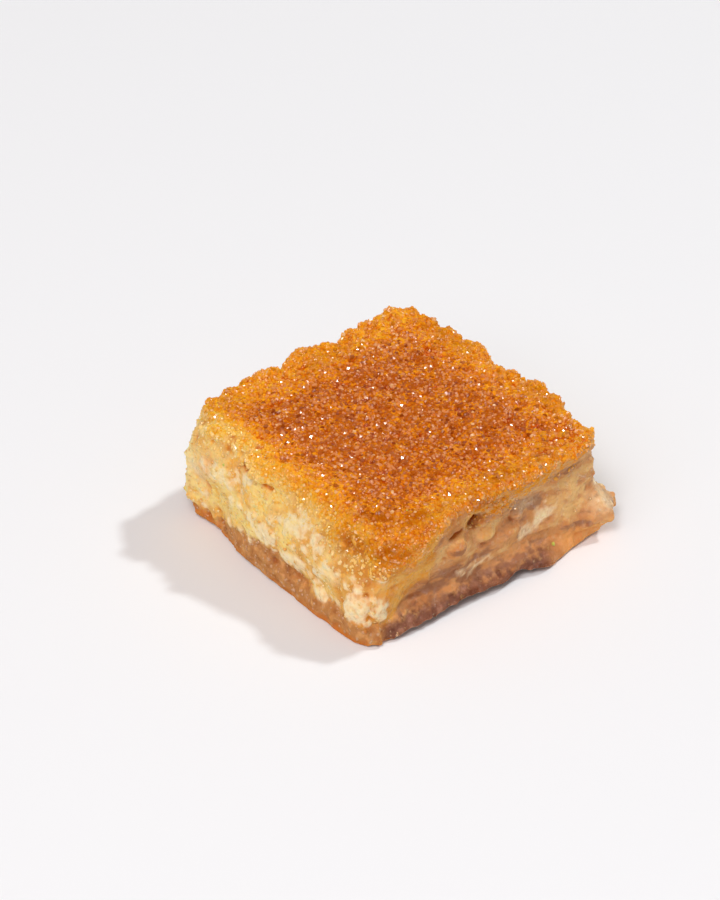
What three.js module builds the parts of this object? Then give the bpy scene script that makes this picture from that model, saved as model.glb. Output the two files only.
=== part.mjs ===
// A square piece of cream-filled semolina cake, cut from its tray and soaked in syrup.
// It has three layers, each a closed solid of its own that runs right through the piece:
// a thin base of dough, a filling of cream curd, and a thick top dough with a browned crust.
// Millimetres, +Z up. The origin is under the middle of the piece, on the surface it rests on.
import * as THREE from 'three';

// Driving dimensions of the whole piece
const HALF_WIDE = 22.6; // along X, before a side's own swell
const HALF_DEEP = 22.8; // along Y
const HEIGHT = 19.5; // to the top of the crust
const BASE_TOP = 3.3; // where the base gives way to the filling
const FILLING_TOP = 11.2; // where the filling gives way to the top dough
const LAYER_GAP = 0.3; // left between one layer's solid and the next

// How closely the surfaces are divided
const AROUND = 104; // points in each ring round the piece
const BASE_STEPS = 4;
const FILLING_STEPS = 5;
const TOP_STEPS = 6;
const RIM_STEPS = 4; // round the rim, from the side to the flat of the top
const SEAM_RINGS = [0.68, 0.34]; // rings on a face hidden between two layers
const CRUST_RINGS = [0.94, 0.87, 0.79, 0.7, 0.6, 0.5, 0.4, 0.3, 0.2, 0.1];

// How far each side stands out past its half width, at equal steps from the foot to the crust
const SIDES = {
  right: { half: HALF_WIDE, swell: [1.0, 0.0, -0.3, 0.6, 1.6] },
  left: { half: HALF_WIDE, swell: [0.2, 1.4, 1.3, 1.1, 1.3] },
  back: { half: HALF_DEEP, swell: [0.2, 0.8, 0.9, 0.6, 0.8] },
  front: { half: HALF_DEEP, swell: [1.0, 1.3, 1.2, 0.9, 0.6] },
};
const FRONT_LEAN = 4.8; // the front side falls back this far more at its right end, at the crust
const FOOT_SQUARENESS = 15; // powers of the rounded square: the foot's corners are crisp
const CRUST_SQUARENESS = 8.5; // and the crust's are soft
const FOOT_TUCK = 1.1; // the underside's edge is tucked in by this
const FOOT_HEIGHT = 0.6; // and meets the side at this height
const RIM_ROLL = 1.3; // radius of the crust's rim
const FRONT_ROLL = 3.2; // and along the front, where the crust slopes away
const BRINK_SHARE = 0.79; // the crust eases down to its rim from this share of the way out

// The slow waves of hand-pressed dough: how deep they are, how long, and which way they run
const SIDE_WAVE = { depth: 0.35, length: 3.1, turn: 0.6 };
const BASE_WAVE = { depth: 0.35, length: 4.2, turn: 0.3 };
const FILLING_WAVE = { depth: 0.8, length: 5.0, turn: 1.1 };
const CRUST_WAVE = { depth: 0.15, length: 2.6, turn: 0.4 };
const WAVE_GIRTH = 30; // mm from the middle, where the sides take their wave

// Lumps (out > 0) and hollows (out < 0) of the sides: the middle, how wide and tall, how far out
const LUMPS = [
  // Front: a lobe of filling set back at the left, past an upright crack
  { x: -16, y: -23, z: 4, wide: 5.0, tall: 7.0, out: -2.4 },
  { x: -9, y: -23, z: 14, wide: 1.6, tall: 4.0, out: -1.5 },
  { x: -14.5, y: -23, z: 12, wide: 3.0, tall: 3.0, out: 1.2 },
  { x: 3, y: -23, z: 10.5, wide: 4.0, tall: 2.4, out: 0.9 },
  { x: -4, y: -23, z: 5, wide: 3.0, tall: 1.8, out: 0.7 },
  { x: 12, y: -23, z: 11, wide: 4.5, tall: 2.6, out: 0.8 },
  { x: 20, y: -23, z: 6, wide: 2.8, tall: 2.6, out: 1.0 },
  { x: 8, y: -23, z: 4.4, wide: 4.0, tall: 1.2, out: -0.7 },
  // Right: a knife cut, drawn in under the crust, with a pocket that holds a lump of curd
  { x: 23, y: -15, z: 15, wide: 6.0, tall: 4.0, out: 0.9 },
  { x: 23, y: -15, z: 5, wide: 5.0, tall: 3.0, out: -1.3 },
  { x: 23, y: -6, z: 10.9, wide: 3.0, tall: 2.2, out: 1.0 },
  { x: 23, y: -3, z: 14, wide: 2.4, tall: 1.8, out: -1.9 },
  { x: 23, y: 8, z: 12.5, wide: 6.0, tall: 2.2, out: -1.1 },
  { x: 23, y: 4, z: 8.5, wide: 5.0, tall: 2.0, out: 0.8 },
  { x: 23, y: 15, z: 9, wide: 3.5, tall: 3.0, out: 0.7 },
  { x: 23, y: -4, z: 3.4, wide: 4.0, tall: 1.3, out: -0.8 },
  { x: 23, y: 2, z: 1.6, wide: 3.0, tall: 1.4, out: 0.6 },
  { x: 23, y: -12, z: 1.4, wide: 2.6, tall: 1.4, out: 0.5 },
  { x: 24, y: 11, z: 1.0, wide: 5.0, tall: 2.2, out: 2.2 },
  // A shard of the lower layers left standing out at the right-hand corner
  { x: 21, y: 22, z: 4.0, wide: 4.0, tall: 2.6, out: 4.2 },
  { x: 22, y: 17, z: 14, wide: 4.0, tall: 3.0, out: -0.8 },
  // Left and back: plain cuts with the odd swell, and a crust that has crumbled away in places
  { x: -23, y: -20, z: 4, wide: 4.0, tall: 3.5, out: 1.2 },
  { x: -23, y: 8, z: 7, wide: 6.0, tall: 3.0, out: 0.7 },
  { x: -23, y: -4, z: 11, wide: 4.0, tall: 3.0, out: -0.6 },
  { x: 8, y: 23, z: 8, wide: 6.0, tall: 3.0, out: 0.6 },
  { x: -8, y: 23, z: 12, wide: 5.0, tall: 3.0, out: -0.5 },
  { x: -22, y: -22, z: 19, wide: 2.6, tall: 4.0, out: -1.0 },
  { x: -24, y: -17, z: 19, wide: 1.6, tall: 3.0, out: -0.6 },
  { x: -24, y: -3.6, z: 19, wide: 1.6, tall: 2.5, out: -1.4 },
  { x: -24, y: 7.0, z: 19, wide: 1.8, tall: 3.0, out: -1.4 },
  { x: -24, y: 14.0, z: 19, wide: 1.6, tall: 2.5, out: -1.2 },
  { x: -18.4, y: 24, z: 19, wide: 1.8, tall: 3.0, out: -1.2 },
  { x: 0.5, y: 24, z: 19, wide: 3.0, tall: 3.0, out: -1.1 },
  { x: 17, y: 24, z: 19, wide: 4.5, tall: 3.5, out: -1.4 },
];

// Where the base is thicker (up > 0) or thinner (up < 0): it climbs the middle of the front side
const BASE_SWELLS = [
  { x: -1, y: -23, wide: 9.0, up: 1.9 },
  { x: -19, y: -22, wide: 5.5, up: -2.2 },
];

// Rises (up > 0) and dips (up < 0) of the crust
const CRUST_SWELLS = [
  { x: -20, y: 20, wide: 4.5, up: 0.9 },
  { x: -21, y: 1.5, wide: 3.5, up: 0.6 },
  { x: -21, y: -3.6, wide: 2.0, up: -0.4 },
  { x: -21, y: 7.0, wide: 2.0, up: -0.4 },
  { x: 22, y: 18, wide: 4.0, up: 0.3 },
  { x: 19, y: 9, wide: 4.0, up: -0.6 },
  { x: 17, y: -14, wide: 6.0, up: -1.0 },
  { x: 2, y: -4, wide: 11, up: -0.3 },
];

const smooth = (from, to, at) => THREE.MathUtils.smoothstep(at, from, to);
const bell = (distance, spread) => Math.exp(-((distance / spread) ** 2));

// A wave's height over a place: three sines that bend each other, so that it never repeats
function waveAt({ depth, length, turn }, x, y) {
  const along = (x * Math.cos(turn) + y * Math.sin(turn)) / length;
  const across = (y * Math.cos(turn) - x * Math.sin(turn)) / length;
  const long = 0.4 * Math.sin(along + 0.8 * Math.sin(1.3 * across));
  const middling = 0.35 * Math.sin(1.7 * across + 0.9 * Math.sin(1.1 * along) + turn);
  const short = 0.25 * Math.sin(2.9 * along - 2.3 * across + 2 * turn);
  return depth * (long + middling + short);
}

// A side's swell at a height, eased between the steps of its list
function swellAt(side, z) {
  const steps = side.swell.length - 1;
  const place = THREE.MathUtils.clamp(z / HEIGHT, 0, 1) * steps;
  const step = Math.min(Math.floor(place), steps - 1);
  return THREE.MathUtils.lerp(side.swell[step], side.swell[step + 1], smooth(0, 1, place - step));
}

// The point at an angle on a rounded square of half side 1
function roundedSquare(angle, power) {
  const cos = Math.cos(angle);
  const sin = Math.sin(angle);
  const reach = (Math.abs(cos) ** power + Math.abs(sin) ** power) ** (-1 / power);
  return new THREE.Vector2(cos * reach, sin * reach);
}

// A point of the piece's side: at an angle round it and a height, drawn in by an inset
function sidePoint(angle, z, inset = 0) {
  const risen = THREE.MathUtils.clamp(z / HEIGHT, 0, 1);
  const power = THREE.MathUtils.lerp(FOOT_SQUARENESS, CRUST_SQUARENESS, risen ** 2);
  const unit = roundedSquare(angle, power);
  const wide = unit.x > 0 ? SIDES.right : SIDES.left;
  const deep = unit.y > 0 ? SIDES.back : SIDES.front;
  const lean = unit.y > 0 ? 0 : FRONT_LEAN * smooth(-0.6, 1, unit.x) * smooth(0.45, 1, risen);
  const point = new THREE.Vector2(
    unit.x * (wide.half + swellAt(wide, z) - inset),
    unit.y * (deep.half + swellAt(deep, z) - lean - inset),
  );
  const outward = new THREE.Vector2(
    Math.sign(unit.x) * Math.abs(unit.x) ** (power - 1),
    Math.sign(unit.y) * Math.abs(unit.y) ** (power - 1),
  ).normalize();
  let push = waveAt(SIDE_WAVE, WAVE_GIRTH * unit.x, WAVE_GIRTH * unit.y + z);
  for (const lump of LUMPS) {
    const beside = Math.hypot(point.x - lump.x, point.y - lump.y);
    push += lump.out * bell(beside, lump.wide) * bell(z - lump.z, lump.tall);
  }
  return point.addScaledVector(outward, push);
}

// What a list of swells adds to a height over a place
function swellsOver(swells, x, y) {
  let sum = 0;
  for (const swell of swells) {
    sum += swell.up * bell(Math.hypot(x - swell.x, y - swell.y), swell.wide);
  }
  return sum;
}

// Heights of the two seams and of the crust over a place on the piece
function baseSeam(x, y) {
  return BASE_TOP + swellsOver(BASE_SWELLS, x, y) + waveAt(BASE_WAVE, x, y);
}

function fillingSeam(x, y) {
  return FILLING_TOP + waveAt(FILLING_WAVE, x, y);
}

function crustTop(x, y) {
  return HEIGHT + swellsOver(CRUST_SWELLS, x, y) + waveAt(CRUST_WAVE, x, y);
}

// The rim's radius: wide along the front, narrow elsewhere
function rimRoll(angle) {
  const unit = roundedSquare(angle, CRUST_SQUARENESS);
  return THREE.MathUtils.lerp(RIM_ROLL, FRONT_ROLL, smooth(0.55, 1, -unit.y));
}

// The place over which a seam's height is taken, the same for every layer that meets there
function seamPlace(angle, share) {
  const unit = roundedSquare(angle, FOOT_SQUARENESS);
  return new THREE.Vector2(unit.x * HALF_WIDE * share, unit.y * HALF_DEEP * share);
}

const angles = Array.from({ length: AROUND }, (_, i) => (2 * Math.PI * (i + 0.5)) / AROUND);
const ringOf = (make) => angles.map(make);
const middleOf = (height) => new THREE.Vector3(0, 0, height);

// A ring on a seam, at a share of the way from the middle to the side
function seamRing(seam, gap, share) {
  return ringOf((angle) => {
    const place = seamPlace(angle, share);
    const z = seam(place.x, place.y) + gap;
    const edge = sidePoint(angle, z);
    return new THREE.Vector3(edge.x * share, edge.y * share, z);
  });
}

// The rings of a layer's side, from one height to another, both taken at the seams' places
function sideRings(steps, low, high) {
  return Array.from({ length: steps + 1 }, (_, step) =>
    ringOf((angle) => {
      const place = seamPlace(angle, 1);
      const z = THREE.MathUtils.lerp(low(place, angle), high(place, angle), step / steps);
      const edge = sidePoint(angle, z);
      return new THREE.Vector3(edge.x, edge.y, z);
    }),
  );
}

// One closed mesh from its lowest middle point, its rings from the bottom to the top, and its top
function closedSolid(bottom, rings, top) {
  const points = [bottom, ...rings.flat(), top];
  const last = points.length - 1;
  const index = (ring, i) => 1 + ring * AROUND + (i % AROUND);
  const faces = [];
  for (let i = 0; i < AROUND; i += 1) {
    faces.push(0, index(0, i + 1), index(0, i));
    for (let ring = 0; ring < rings.length - 1; ring += 1) {
      faces.push(index(ring, i), index(ring, i + 1), index(ring + 1, i + 1));
      faces.push(index(ring, i), index(ring + 1, i + 1), index(ring + 1, i));
    }
    faces.push(last, index(rings.length - 1, i), index(rings.length - 1, i + 1));
  }
  const geometry = new THREE.BufferGeometry().setFromPoints(points);
  geometry.setIndex(faces);
  geometry.computeVertexNormals();
  return geometry;
}

function baseDough() {
  const underside = ringOf((angle) => {
    const edge = sidePoint(angle, 0, FOOT_TUCK);
    return new THREE.Vector3(edge.x, edge.y, 0);
  });
  const low = () => FOOT_HEIGHT;
  const high = (place) => baseSeam(place.x, place.y);
  const sides = sideRings(BASE_STEPS, low, high);
  const seam = SEAM_RINGS.map((share) => seamRing(baseSeam, 0, share));
  return closedSolid(middleOf(0), [underside, ...sides, ...seam], middleOf(baseSeam(0, 0)));
}

function creamFilling() {
  const low = (place) => baseSeam(place.x, place.y) + LAYER_GAP;
  const high = (place) => fillingSeam(place.x, place.y);
  const under = SEAM_RINGS.map((share) => seamRing(baseSeam, LAYER_GAP, share)).reverse();
  const sides = sideRings(FILLING_STEPS, low, high);
  const over = SEAM_RINGS.map((share) => seamRing(fillingSeam, 0, share));
  const bottom = middleOf(baseSeam(0, 0) + LAYER_GAP);
  return closedSolid(bottom, [...under, ...sides, ...over], middleOf(fillingSeam(0, 0)));
}

// The rim rolls over from the side to the flat of the crust in a quarter turn
function rimRings() {
  return Array.from({ length: RIM_STEPS }, (_, step) =>
    ringOf((angle) => {
      const turn = ((step + 1) / RIM_STEPS) * (Math.PI / 2);
      const roll = rimRoll(angle);
      const place = seamPlace(angle, 1);
      const shoulder = crustTop(place.x, place.y) - roll;
      const z = shoulder + roll * Math.sin(turn);
      const edge = sidePoint(angle, z, roll * (1 - Math.cos(turn)));
      return new THREE.Vector3(edge.x, edge.y, z);
    }),
  );
}

function topDough() {
  const low = (place) => fillingSeam(place.x, place.y) + LAYER_GAP;
  const high = (place, angle) => crustTop(place.x, place.y) - rimRoll(angle);
  const under = SEAM_RINGS.map((share) => seamRing(fillingSeam, LAYER_GAP, share)).reverse();
  const sides = sideRings(TOP_STEPS, low, high);
  const rim = rimRings();
  const brink = rim[rim.length - 1];
  const crust = CRUST_RINGS.map((share) =>
    brink.map((edge) => {
      const x = edge.x * share;
      const y = edge.y * share;
      const rimHeight = edge.z - crustTop(edge.x, edge.y);
      const settle = rimHeight * smooth(BRINK_SHARE, 1, share);
      return new THREE.Vector3(x, y, crustTop(x, y) + settle);
    }),
  );
  const bottom = middleOf(fillingSeam(0, 0) + LAYER_GAP);
  return closedSolid(bottom, [...under, ...sides, ...rim, ...crust], middleOf(crustTop(0, 0)));
}

const LAYERS = [
  { name: 'base_dough', make: baseDough, color: 0xb5885c, roughness: 0.55 },
  { name: 'cream_filling', make: creamFilling, color: 0xead79f, roughness: 0.45 },
  { name: 'top_dough', make: topDough, color: 0xc7772f, roughness: 0.4 },
];

const maamoulPiece = new THREE.Group();
for (const layer of LAYERS) {
  const material = new THREE.MeshStandardMaterial({
    color: layer.color,
    roughness: layer.roughness,
    metalness: 0,
  });
  const mesh = new THREE.Mesh(layer.make(), material);
  mesh.name = layer.name;
  maamoulPiece.add(mesh);
}

// The whole piece is moved so that its middle is over the origin
const middle = new THREE.Box3().setFromObject(maamoulPiece).getCenter(new THREE.Vector3());
for (const mesh of maamoulPiece.children) {
  mesh.position.set(-middle.x, -middle.y, 0);
}

export default maamoulPiece;
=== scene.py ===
"""A square piece of syrup-soaked semolina cake with a cream curd filling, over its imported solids.

The three layers of the model are joined into one distance field, whose sides get crumbs, curds, pits
and knife marks and whose top gets a crust of fused grains. Each layer is then meshed from that field,
so that they meet without a gap. Loose grains, specks of pistachio and beads of syrup are meshes of
their own. Lengths in this file are millimetres in the model's own frame.
"""

import itertools
import math

import bpy
import numpy as np
import openvdb as vdb
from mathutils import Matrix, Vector


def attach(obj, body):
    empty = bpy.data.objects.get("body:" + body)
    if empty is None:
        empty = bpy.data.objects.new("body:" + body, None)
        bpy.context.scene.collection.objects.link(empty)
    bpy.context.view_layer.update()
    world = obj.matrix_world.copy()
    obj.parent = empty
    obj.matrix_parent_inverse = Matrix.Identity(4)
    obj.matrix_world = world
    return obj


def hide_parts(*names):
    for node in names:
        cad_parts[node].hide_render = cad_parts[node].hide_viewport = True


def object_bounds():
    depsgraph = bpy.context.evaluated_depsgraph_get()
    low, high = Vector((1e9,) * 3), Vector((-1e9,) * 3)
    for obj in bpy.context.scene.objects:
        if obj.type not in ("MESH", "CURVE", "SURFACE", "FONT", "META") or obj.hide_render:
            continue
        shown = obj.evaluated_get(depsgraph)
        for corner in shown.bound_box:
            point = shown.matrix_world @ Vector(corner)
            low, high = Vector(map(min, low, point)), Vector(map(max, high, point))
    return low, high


MM = 0.001

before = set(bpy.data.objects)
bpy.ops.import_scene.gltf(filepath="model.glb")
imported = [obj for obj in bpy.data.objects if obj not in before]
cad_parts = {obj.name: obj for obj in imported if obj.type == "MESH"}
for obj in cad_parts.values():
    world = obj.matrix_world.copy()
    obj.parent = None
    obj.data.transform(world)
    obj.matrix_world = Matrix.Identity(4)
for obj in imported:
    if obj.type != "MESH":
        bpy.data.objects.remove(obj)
cad_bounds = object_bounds()
scene = bpy.context.scene

# ---- Noise and small helpers ----

CUBE = [[(corner >> axis) & 1 for axis in range(3)] for corner in range(8)]
LATTICE = 64  # the noise repeats after this many cells
NOISE_ORIGIN = 500.0
OCTAVE_STEP = 2.03
OCTAVE_FALL = 0.55
TINY = 1e-6


def ease(low, high, value):
    """From 0 at low to 1 at high, gently at both ends."""
    t = np.clip((value - low) / (high - low), 0.0, 1.0)
    return t * t * (3.0 - 2.0 * t)


def soft_min(a, b, blend):
    """The lower of two fields, rounded over a band where they meet."""
    h = np.clip(0.5 + 0.5 * (b - a) / blend, 0.0, 1.0)
    return b + (a - b) * h - blend * h * (1.0 - h)


def soft_max(a, b, blend):
    return -soft_min(-a, -b, blend)


def value_noise(points, size, seed):
    """Smooth noise between -1 and 1 whose features are about size millimetres across."""
    table = np.random.default_rng(seed).random((LATTICE,) * 3, dtype=np.float32) * 2.0 - 1.0
    place = points / np.asarray(size, dtype=np.float32) + NOISE_ORIGIN
    cell = np.floor(place).astype(np.int32)
    t = (place - cell).astype(np.float32)
    t = t * t * (3.0 - 2.0 * t)
    low = cell % LATTICE
    high = (cell + 1) % LATTICE
    total = np.zeros(len(points), dtype=np.float32)
    for pick in CUBE:
        index = [high[:, axis] if pick[axis] else low[:, axis] for axis in range(3)]
        weight = np.ones(len(points), dtype=np.float32)
        for axis in range(3):
            weight *= t[:, axis] if pick[axis] else 1.0 - t[:, axis]
        total += weight * table[index[0], index[1], index[2]]
    return total


def noise(points, size, seed, octaves=2):
    """Several sizes of noise laid over each other, each about half the size of the last."""
    total = 0.0
    reach = 0.0
    for octave in range(octaves):
        share = OCTAVE_FALL**octave
        total = total + share * value_noise(points, np.asarray(size) / OCTAVE_STEP**octave, seed + octave)
        reach += share
    return total / reach


def bell(distance, spread):
    return np.exp(-((distance / spread) ** 2))


def read_off(table, place):
    """The height, at each place, of a line through a table's points."""
    return np.interp(place, *np.array(table).T)


# ---- The distance field of the whole piece ----

VOXEL = 0.26
BAND = 1.7  # how far from the surface the fields reach
MARGIN = 1.5  # room round the model's box
SEAM_BLEND = 0.6  # closes the gap between the model's layers
SEAM_TRUST = 0.8  # a seam is read where the next layer is about this thick over it
LOG_FLOOR = 1e-12


class Grid:
    """The box of voxels that the fields fill, and how places map to it."""

    def __init__(self, low, high, voxel):
        self.voxel = voxel
        self.first = np.floor((np.asarray(low) - MARGIN) / voxel).astype(int)
        last = np.ceil((np.asarray(high) + MARGIN) / voxel).astype(int)
        self.shape = tuple(int(n) for n in last - self.first + 1)
        self.corner = tuple(int(i) for i in self.first)
        self.transform = vdb.createLinearTransform(voxelSize=voxel)
        self.heights = ((np.arange(self.shape[2]) + self.first[2]) * voxel).astype(np.float32)

    def field_of(self, node):
        """Signed distance to a node's surface, negative inside, flat beyond the band."""
        corners, triangles = node_surface(node)
        level = vdb.FloatGrid.createLevelSetFromPolygons(
            corners, triangles=triangles, transform=self.transform, halfWidth=BAND / self.voxel
        )
        field = np.empty(self.shape, dtype=np.float32)
        level.copyToArray(field, ijk=self.corner)
        return field

    def places(self, voxels):
        """The places of voxels given by their indices."""
        return ((np.stack(voxels, axis=1) + self.first) * self.voxel).astype(np.float32)

    def sample(self, field, points):
        """A field's value at each of a list of places, eased between the voxels."""
        place = points / self.voxel - self.first
        limit = np.array(self.shape) - 2
        cell = np.clip(np.floor(place).astype(int), 0, limit)
        t = np.clip(place - cell, 0.0, 1.0)
        total = np.zeros(len(points))
        for pick in CUBE:
            weight = np.prod(np.where(pick, t, 1.0 - t), axis=1)
            i, j, k = (cell + pick).T
            total += weight * field[i, j, k]
        return total

    def column(self, heights, points):
        """The value of a map of columns under each of a list of places."""
        index = np.rint(points[:, :2] / self.voxel).astype(int) - self.first[:2]
        i, j = np.clip(index, 0, np.array(self.shape[:2]) - 1).T
        return heights[i, j]

    def surface_of(self, field, adaptivity):
        """The zero surface of a field as corners, triangles and quads."""
        level = vdb.FloatGrid()
        level.background = BAND
        level.copyFromArray(np.ascontiguousarray(field, dtype=np.float32), ijk=self.corner)
        level.transform = self.transform
        return level.convertToPolygons(isovalue=0.0, adaptivity=adaptivity)


def node_surface(name):
    """A node's corners in millimetres, merged, and its triangles."""
    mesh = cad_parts[name].data
    mesh.calc_loop_triangles()
    corners = np.empty(len(mesh.vertices) * 3, dtype=np.float64)
    mesh.vertices.foreach_get("co", corners)
    triangles = np.empty(len(mesh.loop_triangles) * 3, dtype=np.int32)
    mesh.loop_triangles.foreach_get("vertices", triangles)
    merged, index = np.unique(np.round(corners.reshape(-1, 3) / MM, 4), axis=0, return_inverse=True)
    return merged.astype(np.float32), index.reshape(-1)[triangles].reshape(-1, 3).astype(np.uint32)


def spread_out(values, known):
    """Fills a map's unknown columns from their known neighbours, ring by ring."""
    values = np.where(known, values, 0.0)
    while not known.all():
        total = np.zeros_like(values)
        count = np.zeros_like(values)
        for axis in (0, 1):
            for step in (1, -1):
                total += np.roll(values, step, axis=axis)
                count += np.roll(known, step, axis=axis)
        fresh = ~known & (count > 0)
        values[fresh] = total[fresh] / count[fresh]
        known = known | fresh
    return values


def at_height(field, index):
    """A field's value in each column at a height given by its index."""
    return np.take_along_axis(field, index[:, :, None], axis=2)[:, :, 0]


def seam_heights(lower, upper):
    """The height of the seam between two layers over each column of the grid."""
    inside = lower < 0.0
    found = inside.any(axis=2)
    top = grid.shape[2] - 1 - np.argmax(inside[:, :, ::-1], axis=2)
    top = np.minimum(top, grid.shape[2] - 2)
    over = np.minimum(top + int(SEAM_TRUST / grid.voxel), grid.shape[2] - 1)
    covered = at_height(upper, over) < -0.5 * SEAM_TRUST
    below = at_height(lower, top)
    above = at_height(lower, top + 1)
    share = below / np.minimum(below - above, -TINY)
    return spread_out((top + share + grid.first[2]) * grid.voxel, found & covered)


# ---- Crowds of melted grains, curds and hollows ----

CHUNK = 2000
FADE = 4.0  # an ellipsoid's pull ends this many blends from its surface
CELL_KEY = 4099  # more than the cells along any axis


class Crowd:
    """Many ellipsoids melted into one field."""

    def __init__(self, blend):
        self.blend = blend
        self.total = np.zeros(int(np.prod(grid.shape)), dtype=np.float32)

    def add(self, centres, radii, turns=None):
        """Adds ellipsoids by their centres, their three radii and, if turned, their rotations."""
        centres = np.array(centres)
        radii = np.array(radii, dtype=np.float32)
        if turns is None:
            turns = np.broadcast_to(np.eye(3, dtype=np.float32), (len(centres), 3, 3))
        for start in range(0, len(centres), CHUNK):
            some = slice(start, start + CHUNK)
            self._add_some(centres[some], radii[some], turns[some])

    def _add_some(self, centres, radii, turns):
        reach = int(math.ceil((radii.max() + FADE * self.blend) / grid.voxel))
        steps = np.arange(-reach, reach + 1)
        offsets = np.stack(np.meshgrid(steps, steps, steps, indexing="ij"), axis=-1).reshape(-1, 3)
        offsets = offsets[(offsets**2).sum(axis=1) <= (reach + 1) ** 2]
        cells = np.rint(centres / grid.voxel).astype(int)[:, None, :] + offsets[None, :, :]
        apart = (cells * grid.voxel - centres[:, None, :]).astype(np.float32)
        turned = np.einsum("nij,nkj->nki", turns, apart)
        swollen = np.sqrt(((turned / radii[:, None, :]) ** 2).sum(axis=-1))
        gap = (swollen - 1.0) * radii.min(axis=1)[:, None]
        index = cells - grid.first
        inside = ((index >= 0) & (index < np.array(grid.shape))).all(axis=-1)
        near = inside & (gap < FADE * self.blend)
        flat = np.ravel_multi_index(tuple(index[near].T), grid.shape)
        np.add.at(self.total, flat, np.exp(-gap[near] / self.blend).astype(np.float32))

    def field(self):
        """The distance to the melted ellipsoids."""
        field = -self.blend * np.log(np.maximum(self.total, LOG_FLOOR))
        return field.reshape(grid.shape).astype(np.float32)


def random_turns(count, rng):
    """A random rotation matrix for each of a number of grains."""
    turns, _ = np.linalg.qr(rng.normal(size=(count, 3, 3)))
    return turns.astype(np.float32)


def scatter_sites(points, spacing, rng):
    """A random choice of places, one in each cube of the given spacing."""
    order = rng.permutation(len(points))
    cell = np.floor(points[order] / spacing).astype(np.int64)
    key = (cell[:, 0] * CELL_KEY + cell[:, 1]) * CELL_KEY + cell[:, 2]
    _, first = np.unique(key, return_index=True)
    return order[first]


# ---- The piece's own surface: a thin band of voxels ----

low, high = (np.array(corner) / MM for corner in cad_bounds)
grid = Grid(low, high, VOXEL)
LAYERS = ("base_dough", "cream_filling", "top_dough")
base_field, filling_field, top_field = (grid.field_of(layer) for layer in LAYERS)
base_seam = seam_heights(base_field, filling_field)
filling_seam = seam_heights(filling_field, top_field)
body = soft_min(soft_min(base_field, filling_field, SEAM_BLEND), top_field, SEAM_BLEND)
slopes = np.gradient(body, grid.voxel)


class Shell:
    """The voxels near the surface: where they are, which way it faces there, and how they lie."""

    def __init__(self):
        self.voxels = np.nonzero(np.abs(body) < BAND - grid.voxel)
        self.places = grid.places(self.voxels)
        self.depth = body[self.voxels]
        slope = np.stack([part[self.voxels] for part in slopes], axis=1)
        self.slope = slope / np.maximum(np.linalg.norm(slope, axis=1, keepdims=True), TINY)
        self.z = self.places[:, 2]
        self.over_base = self.z - grid.column(base_seam, self.places)
        self.over_filling = self.z - grid.column(filling_seam, self.places)
        self.up = ease(0.35, 0.75, self.slope[:, 2]) * ease(15.0, 17.0, self.z)
        self.front = ease(0.3, 0.8, -self.slope[:, 1])
        self.right = ease(0.4, 0.85, self.slope[:, 0]) * (1.0 - self.front)
        self.side = 1.0 - ease(0.4, 0.85, np.abs(self.slope[:, 2]))
        self.top = ease(-0.2, 0.3, self.slope[:, 2]) * ease(14.0, 17.5, self.z)


shell = Shell()


# Heights at which the browned crust starts: along the front wall, by x, and along the right wall, by y
FRONT_CRUST = (
    (-22, 18.2), (-13, 18.6), (-9, 18.4), (-4, 17.2),
    (0, 16.2), (6, 15.6), (12, 14.8), (18, 13.8), (22, 12.0),
)
RIGHT_CRUST = (
    (-22, 11.6), (-18, 12.4), (-14, 15.4), (-11, 17.0), (-7, 15.6), (-3, 13.0),
    (1, 12.2), (7, 13.0), (11, 14.4), (15, 15.0), (19, 15.8), (24, 16.4),
)
HIDDEN_CRUST = 15.0  # and on the other two sides
EDGE_NOISE = 4.0  # the size of the crust edge's ragged pattern


def toast_edge(points):
    """The height at which the sides turn from pale dough to browned crust."""
    x, y = points[:, 0], points[:, 1]
    on_right = ease(-3.0, 3.0, x + y)
    front = read_off(FRONT_CRUST, x)
    right = read_off(RIGHT_CRUST, y)
    near_cut = np.maximum(ease(-18.0, -21.0, y), ease(17.0, 20.0, x))
    return HIDDEN_CRUST + (front * (1.0 - on_right) + right * on_right - HIDDEN_CRUST) * near_cut


def ragged_edge(points):
    return toast_edge(points) + 1.3 * noise(points, EDGE_NOISE, seed=61, octaves=3)


def over_base_at(points):
    """The height of each place over the ragged line where the bottom layer's colour ends."""
    x, y, z = points.T
    climb = 1.1 * ease(-15.5, -18.5, x) + 1.5 * bell(x + 1.0, 6.5) + 0.8 * bell(x - 15.0, 3.0)
    climb *= ease(-18.0, -22.0, y)
    return z - grid.column(base_seam, points) - climb + 0.7 * noise(points, 2.4, seed=111, octaves=3)


# The outward direction of each cut wall, and the axis that runs along it
WALLS = {
    "front": (np.array([0.0, -1.0, 0.0]), 0),
    "right": (np.array([1.0, 0.0, 0.0]), 1),
}
WALL_SEARCH = (14.0, 28.0, 0.05)  # a wall is looked for from here to there, in these steps


def wall_place(wall, along, height):
    """The place on a wall at a distance along it and a height."""
    outward, axis = wall
    steps = np.arange(*WALL_SEARCH)
    line = steps[:, None] * outward
    line[:, axis] = along
    line[:, 2] = height
    outside = np.argmax(grid.sample(body, line) > 0.0)
    return line[outside]


# ---- Relief: crumb, pits, curds, hollows and the grains of the crust ----

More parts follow.
